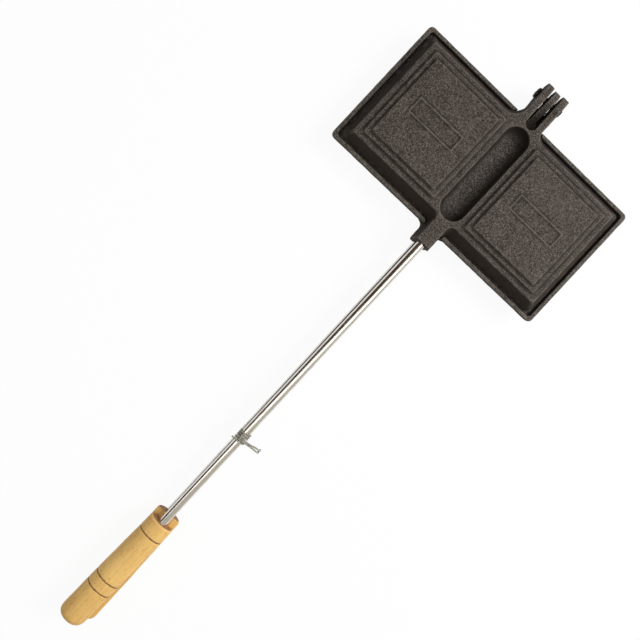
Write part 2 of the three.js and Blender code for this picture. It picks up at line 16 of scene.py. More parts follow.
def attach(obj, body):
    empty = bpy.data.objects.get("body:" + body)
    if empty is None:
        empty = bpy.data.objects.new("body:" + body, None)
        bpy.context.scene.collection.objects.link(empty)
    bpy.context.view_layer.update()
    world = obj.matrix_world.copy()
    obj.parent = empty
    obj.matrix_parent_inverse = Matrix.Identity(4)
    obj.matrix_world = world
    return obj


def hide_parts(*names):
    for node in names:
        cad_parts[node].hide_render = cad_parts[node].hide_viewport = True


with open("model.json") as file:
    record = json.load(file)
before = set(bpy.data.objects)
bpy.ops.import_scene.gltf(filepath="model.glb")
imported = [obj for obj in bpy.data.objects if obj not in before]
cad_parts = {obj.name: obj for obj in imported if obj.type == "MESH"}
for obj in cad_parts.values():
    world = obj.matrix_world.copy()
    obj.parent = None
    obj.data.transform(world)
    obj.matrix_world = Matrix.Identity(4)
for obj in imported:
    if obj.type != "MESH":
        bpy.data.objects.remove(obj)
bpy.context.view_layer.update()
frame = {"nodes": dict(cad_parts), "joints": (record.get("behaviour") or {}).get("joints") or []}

MM = 0.001
MOST_TRIANGLES = 190_000
MERGE_DISTANCE = 1e-6
PHOTO_WIDTH = 640
SENSOR_WIDTH = 36.0

log = logging.getLogger("sandwich_iron")

NodeInputs = dict[str | int, object]


class Body(Enum):
    """The moving bodies of the iron."""

    LOWER_HALF = "lower_half"
    UPPER_HALF = "upper_half"
    LATCH = "latch"


class Slot(Enum):
    """The record's material slots."""

    SEASONED_IRON = "seasoned_iron"
    RIVET_STEEL = "rivet_steel"
    PLATED_ROD = "plated_rod"
    TURNED_WOOD = "turned_wood"
    LATCH_WIRE = "latch_wire"


def linear(hex_colour: str) -> tuple[float, float, float, float]:
    """Turns an sRGB colour into linear light.

    Args:
        hex_colour: six hex digits after a hash sign.

    Returns:
        Red, green, blue and an alpha of 1.
    """
    parts = [int(hex_colour[i : i + 2], 16) / 255 for i in (1, 3, 5)]
    red, green, blue = (p / 12.92 if p <= 0.04045 else ((p + 0.055) / 1.055) ** 2.4 for p in parts)
    return red, green, blue, 1.0


def grey(level: float) -> tuple[float, float, float, float]:
    """Gives a grey in linear light, with an alpha of 1."""
    return level, level, level, 1.0


def add_node(
    tree: bpy.types.NodeTree, kind: str, inputs: NodeInputs | None = None, **settings: object
) -> bpy.types.Node:
    """Adds a node with its settings, values and links.

    Args:
        tree: the tree that gets the node.
        kind: the node's type name.
        inputs: for each input, by name or number, a value, a socket, or a node whose first output is used.
        settings: properties of the node.

    Returns:
        The new node.
    """
    node = tree.nodes.new(kind)
    for key, value in settings.items():
        setattr(node, key, value)
    for key, value in (inputs or {}).items():
        if isinstance(value, bpy.types.Node):
            value = next(output for output in value.outputs if output.enabled)
        if isinstance(value, bpy.types.NodeSocket):
            tree.links.new(value, node.inputs[key])
        else:
            node.inputs[key].default_value = value
    return node


def new_surface(name: str) -> tuple[bpy.types.Material, bpy.types.NodeTree]:
    """Makes a material with an empty node tree.

    Args:
        name: the material's name.

    Returns:
        The material and its tree.
    """
    material = bpy.data.materials.new(name)
    material.use_nodes = True
    material.node_tree.nodes.clear()
    return material, material.node_tree


def millimetres(tree: bpy.types.NodeTree, stretch: float = 1.0) -> bpy.types.Node:
    """Adds the object's coordinates in millimetres.

    Args:
        tree: the material's tree.
        stretch: how much longer a pattern gets along Y, the way in which the rods and grips run.

    Returns:
        The node with the coordinates.
    """
    place = add_node(tree, "ShaderNodeTexCoord").outputs["Object"]
    scale = (1 / MM, 1 / (MM * stretch), 1 / MM)
    return add_node(tree, "ShaderNodeMapping", {"Vector": place, "Scale": scale})


def layered(tree: bpy.types.NodeTree, ground: object, *layers: tuple[object, object]) -> bpy.types.Node:
    """Lays colours over a ground, one after the other.

    Args:
        tree: the material's tree.
        ground: the lowest colour, as hex digits, linear values or a node.
        layers: how much of each layer shows, and its colour.

    Returns:
        The node with the result.
    """
    # The Mix node has sockets for each kind of value. These are its share and its two colours
    share_key, below_key, above_key = 0, 6, 7
    for share, colour in layers:
        below, above = (linear(c) if isinstance(c, str) else c for c in (ground, colour))
        inputs = {share_key: share, below_key: below, above_key: above}
        ground = add_node(tree, "ShaderNodeMix", inputs, data_type="RGBA")
    return ground


def summed(tree: bpy.types.NodeTree, total: object, *others: tuple[float, object]) -> bpy.types.Node:
    """Adds patterns up.

    Args:
        tree: the material's tree.
        total: the first pattern.
        others: the factor of each further pattern, and the pattern.

    Returns:
        The node with the sum.
    """
    for factor, pattern in others:
        total = add_node(tree, "ShaderNodeMath", {0: pattern, 1: factor, 2: total}, operation="MULTIPLY_ADD")
    return total


@dataclass(frozen=True)
class Pattern:
    """Random grains in a finish. Their width, and their length along Y, are in millimetres."""

    width: float
    layers: float = 2.0
    roughness: float = 0.5
    length: float | None = None

    def add_to(self, tree: bpy.types.NodeTree) -> bpy.types.Node:
        """Adds the pattern to a material.

        Args:
            tree: the material's tree.

        Returns:
            The node with the pattern, about 0.5 on average.
        """
        place = millimetres(tree, (self.length or self.width) / self.width)
        layers = {"Detail": self.layers, "Roughness": self.roughness}
        return add_node(tree, "ShaderNodeTexNoise", {"Vector": place, "Scale": 1 / self.width, **layers})


@dataclass(frozen=True)
class Span:
    """A span of a value and the span that it is turned into. Outside it the result stays at its ends."""

    low: float
    high: float
    to_low: float = 0.0
    to_high: float = 1.0

    def inputs(self, value: object) -> NodeInputs:
        """Gives the inputs with which a Map Range node turns a value.

        Args:
            value: a node or a socket.

        Returns:
            The inputs by name.
        """
        given = {"Value": value, "From Min": self.low, "From Max": self.high}
        return {**given, "To Min": self.to_low, "To Max": self.to_high}


@dataclass(frozen=True)
class Relief:
    """How strongly a pattern lifts the surface, and how far in millimetres."""

    strength: float
    depth: float


class Finish(ABC):
    """A finish of the iron. Each one has a name, a relief and its own way to draw itself."""

    name: str
    relief: Relief

    def material(self) -> bpy.types.Material:
        """Builds the finish as a material.

        Returns:
            The new material.
        """
        surface, tree = new_surface(self.name)
        height, inputs = self.draw(tree)
        lift = {"Height": height, "Strength": self.relief.strength, "Distance": self.relief.depth * MM}
        bump = add_node(tree, "ShaderNodeBump", lift)
        shader = add_node(tree, "ShaderNodeBsdfPrincipled", {**inputs, "Normal": bump})
        add_node(tree, "ShaderNodeOutputMaterial", {"Surface": shader})
        return surface

    @abstractmethod
    def draw(self, tree: bpy.types.NodeTree) -> tuple[bpy.types.Node, NodeInputs]:
        """Draws the patterns of the finish.

        Args:
            tree: the material's tree.

        Returns:
            The pattern that lifts the surface, and the inputs of the shader.
        """


@dataclass(frozen=True)
class SeasonedIron(Finish):
    """Grey cast iron, cast in sand and seasoned with oil.

    The sand leaves a fine granular skin with small pits, and the burnt-in oil makes it a dull
    warm grey-brown with a faint greasy sheen, paler where the grains stand proud. The steep walls
    come out of the sand smoother, and get a darker brown as painted shade. Painted shade also
    darkens the trough, more the deeper it lies, and the creases.
    """

    name: str = "seasoned_cast_iron"
    skin: str = "#50473f"
    deep: str = "#271f1a"
    # Painted shade: the steep walls get this darker brown in place of the skin colour
    shaded_wall: str = "#30271f"
    # Painted shade for the trough and the creases
    painted_shade: str = "#140f0b"
    bright: str = "#8a8279"
    # Moulding sand is finer than this. Its grains are as coarse here as the render needs to show them
    grain: Pattern = Pattern(1.2, 1.0, 0.6)
    grit: Pattern = Pattern(0.7, 1.0)
    blotch: Pattern = Pattern(15.0, 3.0, 0.6)
    blotch_share: float = 0.3
    grain_share: float = 0.6
    grit_share: float = 0.4
    sand_cast: Span = Span(0.55, 0.92)
    sand_tone: Span = Span(0.52, 0.78)
    wall_tone: Span = Span(0.35, 0.7)
    peaks: Span = Span(0.86, 1.06, 0.0, 0.55)
    # Shares of painted shade in the trough, broken up by the grains, and in the creases
    trough_shade_patches: Span = Span(0.68, 0.92, 0.62, 0.1)
    crease_shade: Span = Span(0.2, 0.8, 0.0, 0.8)
    worn_edges: Span = Span(0.2, 0.9, 0.0, 0.36)
    gloss: Span = Span(0.1, 1.15, 0.9, 0.6)
    shine: float = 0.3
    relief: Relief = Relief(1.0, 0.75)

    def draw(self, tree: bpy.types.NodeTree) -> tuple[bpy.types.Node, NodeInputs]:
        """Draws sandy level faces and smoother walls in a darker painted shade, then painted shade in the
        trough and the creases, and worn edges, over both.

        Args:
            tree: the material's tree.

        Returns:
            The pattern that lifts the surface, and the inputs of the shader.
        """
        grain, grit, blotch = (pattern.add_to(tree) for pattern in (self.grain, self.grit, self.blotch))
        level, edge, crease, trough = (
            add_node(tree, "ShaderNodeAttribute", attribute_name=name).outputs["Fac"]
            for name in ("level", "edge", "crease", "trough")
        )
        gritty = summed(tree, grit, (self.grain_share, grain))
        clouded = summed(tree, grain, (self.blotch_share, blotch))
        sandy, tone, wall_tone, peaks, patches, creases, worn = (
            add_node(tree, "ShaderNodeMapRange", span.inputs(value))
            for span, value in (
                (self.sand_cast, level),
                (self.sand_tone, clouded),
                (self.wall_tone, blotch),
                (self.peaks, gritty),
                (self.trough_shade_patches, gritty),
                (self.crease_shade, crease),
                (self.worn_edges, edge),
            )
        )
        # Painted shade in the trough, stronger the deeper the skin lies there
        trough_shade = add_node(tree, "ShaderNodeMath", {0: trough, 1: patches}, operation="MULTIPLY")
        # The walls are painted darker than the level faces, as shade
        walls = layered(tree, self.deep, (wall_tone, self.shaded_wall))
        level_faces = layered(tree, self.deep, (tone, self.skin), (peaks, self.bright))
        # Painted shade goes over the trough and the creases, then the worn edges
        over = ((sandy, level_faces), (trough_shade, self.painted_shade), (creases, self.painted_shade), (worn, self.bright))
        grains = summed(tree, grain, (self.grit_share, grit))
        height = add_node(tree, "ShaderNodeMath", {0: grains, 1: sandy}, operation="MULTIPLY")
        uneven = summed(tree, sandy, (self.blotch_share, blotch))
        return height, {
            "Base Color": layered(tree, walls, *over),
            "Metallic": 0.0,
            "Roughness": add_node(tree, "ShaderNodeMapRange", self.gloss.inputs(uneven)),
            "Specular IOR Level": self.shine,
        }


@dataclass(frozen=True)
class RivetSteel(Finish):
    """Mild steel rivet, upset with a hammer and darkened by heat.

    The blows leave shallow facets, and the fire a brown-black scale that is thin on their edges.
    """

    name: str = "hammered_rivet_steel"
    scale: str = "#181411"
    bare: str = "#3d352f"
    dent: float = 2.6
    grit: Pattern = Pattern(0.7)
    grit_share: float = 0.25
    thin_scale: Span = Span(0.35, 0.75)
    gloss: Span = Span(0.3, 0.7, 0.38, 0.56)
    metal: float = 0.75
    relief: Relief = Relief(0.7, 0.4)

    def draw(self, tree: bpy.types.NodeTree) -> tuple[bpy.types.Node, NodeInputs]:
        """Draws the scale and the hammer's dents.

        Args:
            tree: the material's tree.

        Returns:
            The pattern that lifts the surface, and the inputs of the shader.
        """
        facets = {"Vector": millimetres(tree), "Scale": 1 / self.dent}
        dents = add_node(tree, "ShaderNodeTexVoronoi", facets, feature="SMOOTH_F1")
        grit = self.grit.add_to(tree)
        thin = add_node(tree, "ShaderNodeMapRange", self.thin_scale.inputs(grit))
        return summed(tree, dents, (self.grit_share, grit)), {
            "Base Color": layered(tree, self.scale, (thin, self.bare)),
            "Metallic": self.metal,
            "Roughness": add_node(tree, "ShaderNodeMapRange", self.gloss.inputs(grit)),
        }


@dataclass(frozen=True)
class PlatedRod(Finish):
    """Mild steel rod, drawn through a die and bright nickel-chrome plated.

    It mirrors its surroundings, a little softened by drawing lines along the rod and by handling marks.
    """

    name: str = "plated_drawn_rod"
    plating: str = "#dcd9d4"
    tint: str = "#b9aa98"
    # Real drawing lines are finer. They are as coarse here as the render needs to show them
    lines: Pattern = Pattern(0.35, length=60.0)
    marks: Pattern = Pattern(9.0, 3.0, 0.6)
    handled: Span = Span(0.52, 0.74, 0.0, 0.5)
    gloss: Span = Span(0.4, 0.75, 0.17, 0.3)
    metal: float = 1.0
    relief: Relief = Relief(0.25, 0.04)

    def draw(self, tree: bpy.types.NodeTree) -> tuple[bpy.types.Node, NodeInputs]:
        """Draws the lines of the die and the handling marks.

        Args:
            tree: the material's tree.

        Returns:
            The pattern that lifts the surface, and the inputs of the shader.
        """
        marks = self.marks.add_to(tree)
        handled = add_node(tree, "ShaderNodeMapRange", self.handled.inputs(marks))
        return self.lines.add_to(tree), {
            "Base Color": layered(tree, self.plating, (handled, self.tint)),
            "Metallic": self.metal,
            "Roughness": add_node(tree, "ShaderNodeMapRange", self.gloss.inputs(marks)),
        }


@dataclass(frozen=True)
class LatchWire(Finish):
    """Spring steel wire, zinc plated and then bent.

    Zinc is greyer and duller than the rods' plating, with a soft broken shine.
    """

    name: str = "zinc_plated_wire"
    zinc: str = "#aeab9c"
    dull: str = "#85827a"
    # Crystals of plated zinc are finer. They are as coarse here as the render needs to show them
    crystals: Pattern = Pattern(1.8, 3.0, 0.6)
    dulled: Span = Span(0.35, 0.7)
    gloss: Span = Span(0.3, 0.7, 0.42, 0.6)
    metal: float = 0.6
    relief: Relief = Relief(0.3, 0.05)

    def draw(self, tree: bpy.types.NodeTree) -> tuple[bpy.types.Node, NodeInputs]:
        """Draws the zinc's crystals.

        Args:
            tree: the material's tree.

        Returns:
            The pattern that lifts the surface, and the inputs of the shader.
        """
        crystals = self.crystals.add_to(tree)
        dulled = add_node(tree, "ShaderNodeMapRange", self.dulled.inputs(crystals))
        return crystals, {
            "Base Color": layered(tree, self.zinc, (dulled, self.dull)),
            "Metallic": self.metal,
            "Roughness": add_node(tree, "ShaderNodeMapRange", self.gloss.inputs(crystals)),
        }


@dataclass(frozen=True)
class TurnedWood(Finish):
    """Beech, turned on a lathe, sanded and left without varnish.

    Straw-coloured wood with long fibres, short darker flecks and soft growth bands along the grip.
    The grooves are burnt brown by a wire, and the sawn ends are darker because they show end grain.
    """

    name: str = "turned_beech"
    light: str = "#f0c576"
    dark: str = "#d6a65c"
    fleck: str = "#a3713a"
    burnt: str = "#744822"
    end: str = "#8c6147"
    # Real fibres and pores are finer. They are as coarse here as the render needs to show them
    fibres: Pattern = Pattern(0.5, 3.0, 0.6, length=26.0)
    flecks: Pattern = Pattern(0.55, 0.0, length=3.85)
    pores: Pattern = Pattern(0.8)
    bands: Pattern = Pattern(3.6, length=79.2)
    cloud: Pattern = Pattern(30.0)
    band_share: float = 0.7
    cloud_share: float = 0.8
    fleck_share: float = -0.3
    darker: Span = Span(1.0, 1.6)
    flecked: Span = Span(0.68, 0.8, 0.0, 0.7)
    gloss: Span = Span(0.3, 0.7, 0.5, 0.64)
    relief: Relief = Relief(0.35, 0.12)

    def draw(self, tree: bpy.types.NodeTree) -> tuple[bpy.types.Node, NodeInputs]:
        """Draws the grain, then the end grain and the burnt grooves over it.

        Args:
            tree: the material's tree.

        Returns:
            The pattern that lifts the surface, and the inputs of the shader.
        """
        fibres, flecks, pores, bands, cloud = (
            pattern.add_to(tree) for pattern in (self.fibres, self.flecks, self.pores, self.bands, self.cloud)
        )
        tone = summed(tree, fibres, (self.band_share, bands), (self.cloud_share, cloud))
        darker = add_node(tree, "ShaderNodeMapRange", self.darker.inputs(tone))
        flecked = add_node(tree, "ShaderNodeMapRange", self.flecked.inputs(flecks))
        end, burn = (
            add_node(tree, "ShaderNodeAttribute", attribute_name=name).outputs["Fac"]
            for name in ("end_grain", "burn")
        )
        sawn = layered(tree, self.end, (pores, self.fleck))
        over = ((darker, self.dark), (flecked, self.fleck), (end, sawn), (burn, self.burnt))
        return summed(tree, fibres, (self.fleck_share, flecks)), {
            "Base Color": layered(tree, self.light, *over),
            "Roughness": add_node(tree, "ShaderNodeMapRange", self.gloss.inputs(fibres)),
        }


def link_mesh(name: str, mesh: bpy.types.Mesh) -> bpy.types.Object:
    """Puts a mesh into the scene as an object at the origin.

    Args:
        name: the object's name.
        mesh: its mesh.

    Returns:
        The new object.
    """
    piece = bpy.data.objects.new(name, mesh)
    bpy.context.scene.collection.objects.link(piece)
    return piece


def applied(piece: bpy.types.Object) -> bpy.types.Object:
    """Turns an object's modifiers into a plain mesh.

    Args:
        piece: an object with modifiers.

    Returns:
        The same object, with the result as its mesh and no modifiers.
    """
    graph = bpy.context.evaluated_depsgraph_get()
    mesh = bpy.data.meshes.new_from_object(piece.evaluated_get(graph))
    piece.modifiers.clear()
    piece.data = mesh
    return piece


def rows_of(items: bpy.types.bpy_prop_collection, name: str, width: int, kind: type = float) -> np.ndarray:
    """Reads a property of all vertices or edges of a mesh.

    Args:
        items: the vertices or the edges.
        name: the property's name.
        width: how many numbers it has.
        kind: their type.

    Returns:
        One row for each vertex or edge.
    """
    flat = np.empty(len(items) * width, dtype=kind)
    items.foreach_get(name, flat)
    return flat.reshape(-1, width)


def points_of(mesh: bpy.types.Mesh) -> np.ndarray:
    """Reads a mesh's vertices, in metres."""
    return rows_of(mesh.vertices, "co", 3)


def normals_of(mesh: bpy.types.Mesh) -> np.ndarray:
    """Reads the direction in which each vertex faces."""
    return rows_of(mesh.vertices, "normal", 3)


def edges_of(mesh: bpy.types.Mesh) -> np.ndarray:
    """Reads the two vertices of each edge."""
    return rows_of(mesh.edges, "vertices", 2, np.int32)


def put_points(mesh: bpy.types.Mesh, points: np.ndarray) -> None:
    """Moves a mesh's vertices to new places, in metres."""
    mesh.vertices.foreach_set("co", points.ravel())
    mesh.update()


def put_attribute(mesh: bpy.types.Mesh, name: str, values: np.ndarray) -> None:
    """Stores one number for each vertex."""
    attribute = mesh.attributes.new(name, "FLOAT", "POINT")
    attribute.data.foreach_set("value", values.astype(np.float32))


def neighbour_mean(values: np.ndarray, edges: np.ndarray) -> np.ndarray:
    """Averages a quantity over each vertex's neighbours.

    Args:
        values: one row for each vertex.
        edges: the two vertices of each edge.

    Returns:
        The averages, in the shape of values.
    """
    rows = values.reshape(len(values), -1)
    ends, others = np.concatenate([edges, edges[:, ::-1]]).T
    count = np.maximum(np.bincount(ends, minlength=len(rows)), 1)
    sums = [np.bincount(ends, rows[others, i], len(rows)) for i in range(rows.shape[1])]
    return (np.stack(sums, 1) / count[:, None]).reshape(values.shape)


def ramp(values: np.ndarray, start: float, width: float) -> np.ndarray:
    """Gives 0 up to the start, then rises to 1 over the width and stays there."""
    return np.clip((values - start) / width, 0, 1)


def joint_place(name: str) -> np.ndarray:
    """Reads where a joint of the frame lies, in millimetres."""
    joint = next(j for j in frame["joints"] if j["name"] == name)
    return np.array(joint["pos_m"]) / MM


@dataclass(frozen=True)
class Swell:
    """Even, random unevenness. Its height and its shortest and longest wave are in millimetres."""

    height: float
    shortest: float
    longest: float
    seed: int
    waves: int = 48

    def at(self, points: np.ndarray) -> np.ndarray:
        """Works out the unevenness.

        Args:
            points: places in metres.

        Returns:
            One height for each point, in metres.
        """
        random = np.random.default_rng(self.seed)
        direction = random.normal(size=(self.waves, 3))
        direction /= np.linalg.norm(direction, axis=1)[:, None]
        length = random.uniform(self.shortest, self.longest, self.waves)
        phase = random.uniform(0, 2 * math.pi, self.waves)
        total = np.zeros(len(points))
        for i in range(self.waves):
            total += np.sin(points @ direction[i] * (2 * math.pi / (length[i] * MM)) + phase[i])
        return self.height * MM * (total / math.sqrt(self.waves / 2))


@dataclass(frozen=True)
class Block:
    """A block between two values of X, with its outline in the side view.

    The outline's points are (y, z). All places are in millimetres from the hinge's middle.
    """

    sides: tuple[float, float]
    outline: tuple[tuple[float, float], ...]

    def add_to(self, mesh: bmesh.types.BMesh) -> None:
        """Adds the block's closed surface to a mesh, which a remesh then joins to the rest.

        Args:
            mesh: the mesh that gets the block.
        """
        hinge = joint_place("plates_hinge")
        ends = [
            [mesh.verts.new(tuple((hinge + (x, y, z)) * MM)) for y, z in self.outline] for x in self.sides
        ]
        faces = [mesh.faces.new(end) for end in ends]
        for i in range(len(self.outline)):
            faces.append(mesh.faces.new((ends[0][i], ends[0][i - 1], ends[1][i - 1], ends[1][i])))
        bmesh.ops.recalc_face_normals(mesh, faces=faces)


@dataclass
class SoftenedSolid:
    """A CAD solid with the rounded edges and the slight unevenness of the real process.

    Sizes are in millimetres. The swell fades within the margin of the CAD box's sides and bottom.
    """

    node: str
    name: str
    voxel: float
    passes: int
    swell: Swell
    joined: tuple[Block, ...] = ()
    smoothing: float = 0.5
    margin: float = 1.0
    full_edge: float = 0.04
    full_crease: float = 0.03
    skin_passes: int = 2

    def build(self) -> bpy.types.Object:
        """Remeshes a merged copy of the node, rounds it and lets it swell inside the node's box.

        Returns:
            The new piece at the origin.
        """
        solid = points_of(frame["nodes"][self.node].data)
        piece = self.remeshed()
        self.round_off(piece.data, solid.min(0), solid.max(0))
        triangles = 2 * len(piece.data.polygons)
        if triangles > MOST_TRIANGLES:
            thin = piece.modifiers.new("thin", "DECIMATE")
            thin.ratio = MOST_TRIANGLES / triangles
            applied(piece)
        self.mark_skin(piece.data)
        piece.data.shade_smooth()
        return piece

    def remeshed(self) -> bpy.types.Object:
        """Merges a copy of the node with the blocks that are cast with it.

        Returns:
            A piece with one even, closed skin of quads.
        """
        mesh = frame["nodes"][self.node].data.copy()
        mesh.name = self.name
        mesh.materials.clear()
        merged = bmesh.new()
        merged.from_mesh(mesh)
        bmesh.ops.remove_doubles(merged, verts=merged.verts, dist=MERGE_DISTANCE)
        for block in self.joined:
            block.add_to(merged)
        merged.to_mesh(mesh)
        merged.free()
        piece = link_mesh(self.name, mesh)
        remesh = piece.modifiers.new("skin", "REMESH")
        remesh.mode = "VOXEL"
        remesh.voxel_size = self.voxel * MM
        return applied(piece)

    def round_off(self, mesh: bpy.types.Mesh, low: np.ndarray, high: np.ndarray) -> None:
        """Rounds the edges and lets the skin swell, but not past the CAD solid's box.

        Args:
            mesh: the remeshed skin.
            low: the box's lowest corner, in metres.
            high: its highest corner, in metres.
        """
        points, edges = points_of(mesh), edges_of(mesh)
        for _ in range(self.passes):
            points += self.smoothing * (neighbour_mean(points, edges) - points)
        put_points(mesh, points)
        swell = self.swell.at(points)
        room = np.minimum((points - low).min(1), (high - points)[:, :2].min(1)) / MM
        swell -= swell.max() * (1 - ramp(room, 0, self.margin))
        put_points(mesh, np.clip(points + normals_of(mesh) * swell[:, None], low, high))

    def mark_skin(self, mesh: bpy.types.Mesh) -> None:
        """Stores where the skin stands out, where it lies in a corner, and how level it lies.

        Args:
            mesh: the mesh of the piece.
        """
        points, edges, normals = points_of(mesh), edges_of(mesh), normals_of(mesh)
        proud = np.einsum("ij,ij->i", points - neighbour_mean(points, edges), normals) / MM
        level = np.abs(normals[:, 2])
        for _ in range(self.skin_passes):
            proud = neighbour_mean(proud, edges)
            level = neighbour_mean(level, edges)
        put_attribute(mesh, "edge", ramp(proud, 0, self.full_edge))
        put_attribute(mesh, "crease", ramp(-proud, 0, self.full_crease))
        put_attribute(mesh, "level", level)


def dress(
    piece: bpy.types.Object, material: bpy.types.Material, body: Body, nodes: list[str]
) -> None:
    """Gives a piece its finish and its body, and hides the CAD nodes that it stands for.

    Args:
        piece: the finished piece.
        material: its finish.
        body: the body that it rides on.
        nodes: the CAD nodes that it replaces.
    """
    piece.data.materials.clear()
    piece.data.materials.append(material)
    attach(piece, body.value)
    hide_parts(*nodes)
    log.info("%s: %d faces, on %s", piece.name, len(piece.data.polygons), body.value)


def sweep_tree() -> bpy.types.GeometryNodeTree:
    """Builds the tree that draws a round bar along a line.

    Returns:
        A tree with the inputs Radius, Sides, Step, Rounding and Finish.
    """
    tree = bpy.data.node_groups.new("round_bar", "GeometryNodeTree")
    face = tree.interface
    face.new_socket("Geometry", in_out="INPUT", socket_type="NodeSocketGeometry")
    for name, kind in (
        ("Radius", "NodeSocketFloat"),
        ("Sides", "NodeSocketInt"),
        ("Step", "NodeSocketFloat"),
        ("Rounding", "NodeSocketFloat"),
        ("Finish", "NodeSocketMaterial"),
    ):
        face.new_socket(name, in_out="INPUT", socket_type=kind)
    face.new_socket("Geometry", in_out="OUTPUT", socket_type="NodeSocketGeometry")
    given = add_node(tree, "NodeGroupInput").outputs
    line = add_node(tree, "GeometryNodeMeshToCurve", {"Mesh": given["Geometry"]})
    even = add_node(
        tree, "GeometryNodeResampleCurve", {"Curve": line, "Length": given["Step"]}, mode="LENGTH"
    )
    along = add_node(tree, "GeometryNodeSplineParameter").outputs["Length"]
    whole = add_node(tree, "GeometryNodeSplineLength").outputs["Length"]
    from_end = add_node(tree, "ShaderNodeMath", {0: whole, 1: along}, operation="SUBTRACT")
    nearest = add_node(tree, "ShaderNodeMath", {0: along, 1: from_end}, operation="MINIMUM")
    tip = add_node(
        tree, "ShaderNodeMath", {0: given["Radius"], 1: given["Rounding"]}, operation="SUBTRACT"
    )
    rounded = {"From Min": 0.0, "From Max": given["Rounding"], "To Min": tip, "To Max": given["Radius"]}
    radius = add_node(tree, "ShaderNodeMapRange", {"Value": nearest, **rounded})
    ring = add_node(tree, "GeometryNodeCurvePrimitiveCircle", {"Resolution": given["Sides"], "Radius": 1.0})
    sized = add_node(tree, "GeometryNodeSetCurveRadius", {"Curve": even, "Radius": radius})
    bar = add_node(
        tree,
        "GeometryNodeCurveToMesh",
        {"Curve": sized, "Profile Curve": ring, "Scale": radius, "Fill Caps": True},
    )
    smooth = add_node(tree, "GeometryNodeSetShadeSmooth", {"Geometry": bar})
    real = add_node(tree, "GeometryNodeRealizeInstances", {"Geometry": smooth})
    finished = add_node(tree, "GeometryNodeSetMaterial", {"Geometry": real, "Material": given["Finish"]})
    add_node(tree, "NodeGroupOutput", {"Geometry": finished})
    return tree


@dataclass
class RoundBar:
    """A round bar along a line of points, made by the sweep tree. Sizes are in millimetres."""

    name: str
    line: np.ndarray
    radius: float
    sides: int
    step: float
    rounding: float

    def build(self, tree: bpy.types.GeometryNodeTree, finish: bpy.types.Material) -> bpy.types.Object:
        """Sweeps the bar.

        Args:
            tree: the tree from sweep_tree.
            finish: its material.

        Returns:
            The new piece at the origin.
        """
        mesh = bpy.data.meshes.new(self.name)
        steps = [(i, i + 1) for i in range(len(self.line) - 1)]
        mesh.from_pydata([tuple(p * MM) for p in self.line], steps, [])
        piece = link_mesh(self.name, mesh)
        sweep = piece.modifiers.new("sweep", "NODES")
        sweep.node_group = tree
        values = {
            "Radius": self.radius * MM,
            "Sides": self.sides,
            "Step": self.step * MM,
            "Rounding": self.rounding * MM,
            "Finish": finish,
        }
        for item in tree.interface.items_tree:
            if item.in_out == "INPUT" and item.name in values:
                sweep[item.identifier] = values[item.name]
        return applied(piece)


def axis_of(node: str, end_depth: float = 0.2) -> tuple[np.ndarray, np.ndarray, np.ndarray, float]:
    """Measures a straight rod of the CAD model.

    Args:
        node: the rod's node.
        end_depth: how far from the outermost points its end faces reach, in millimetres.

    Returns:
        Its end towards the grips, its end towards the plates, the direction from the first to the
        second, and its radius, in millimetres.
    """
    points = points_of(frame["nodes"][node].data) / MM
    low = points[points[:, 1] < points[:, 1].min() + end_depth].mean(0)
    high = points[points[:, 1] > points[:, 1].max() - end_depth].mean(0)
    along = (high - low) / np.linalg.norm(high - low)
    across = (points - low) - np.outer((points - low) @ along, along)
    return low, high, along, float(np.linalg.norm(across, axis=1).max())


@dataclass
class Castings:
    """The two plates of the iron. Sizes are in millimetres, and heights are from the parting plane.

    The lower plate is cast with two blocks. The saddle fills the corner below the ears, and the
    cheek the one between the lug and the right ear.
    """

    voxel: float = 0.5
    passes: int = 3
    upper_swell: Swell = Swell(0.05, 4.0, 14.0, seed=11)
    lower_swell: Swell = Swell(0.05, 4.0, 14.0, seed=23)
    saddle: Block = Block(
        (-7.0, 8.0),
        (
            (-28.6, -1.05),
            (-23.1, -1.05),
            (-4.9, -12.95),
            (-4.9, -13.9),
            (-28.6, -15.3),
            (-36.9, -15.3),
            (-36.4, -12.5),
            (-33.6, -8.0),
            (-30.6, -3.0),
        ),
    )
    cheek: Block = Block(
        (3.0, 5.6), ((-25.5, -1.5), (-7.5, -6.6), (-3.9, -7.5), (-3.9, -12.0), (-25.5, -12.0))
    )
    ledge_height: float = 15.5
    trough_depth: float = 11.5
    trough_to_hinge: float = 90.6
    trough_half_width: float = 12.8
    trough_half_length: float = 53.4
    floor_slack: float = 1.0

    def build(self, finish: bpy.types.Material) -> None:
        """Builds and dresses both castings.

        Args:
            finish: their material.
        """
        for side, body, swell, joined in (
            ("upper", Body.UPPER_HALF, self.upper_swell, ()),
            ("lower", Body.LOWER_HALF, self.lower_swell, (self.saddle, self.cheek)),
        ):
            node = f"{side}_plate"
            piece = SoftenedSolid(node, f"{side}_casting", self.voxel, self.passes, swell, joined).build()
            self.mark_trough(piece.data)
            dress(piece, finish, body, [node])

    def mark_trough(self, mesh: bpy.types.Mesh) -> None:
        """Stores how deep the skin lies in the trough, which the finish darkens there as painted shade.

        Args:
            mesh: the mesh of a casting.
        """
        points = points_of(mesh) / MM - joint_place("plates_hinge")
        height = np.abs(points[:, 2])
        depth = np.clip((self.ledge_height - height) / self.trough_depth, 0, 1)
        beside = np.abs(points[:, 0]) > self.trough_half_width
        beyond = np.abs(points[:, 1] + self.trough_to_hinge) > self.trough_half_length
        below = height < self.ledge_height - self.trough_depth - self.floor_slack
        depth[beside | beyond | below] = 0
        put_attribute(mesh, "trough", depth)


@dataclass
class Knuckle:
    """The rivet that joins the plates. Sizes are in millimetres."""

    voxel: float = 0.22
    passes: int = 3
    swell: Swell = Swell(0.07, 2.5, 6.0, seed=61)

    def build(self, finish: bpy.types.Material) -> None:
        """Builds and dresses the rivet."""
        piece = SoftenedSolid("hinge_rivet", "peened_rivet", self.voxel, self.passes, self.swell).build()
        dress(piece, finish, Body.UPPER_HALF, ["hinge_rivet"])


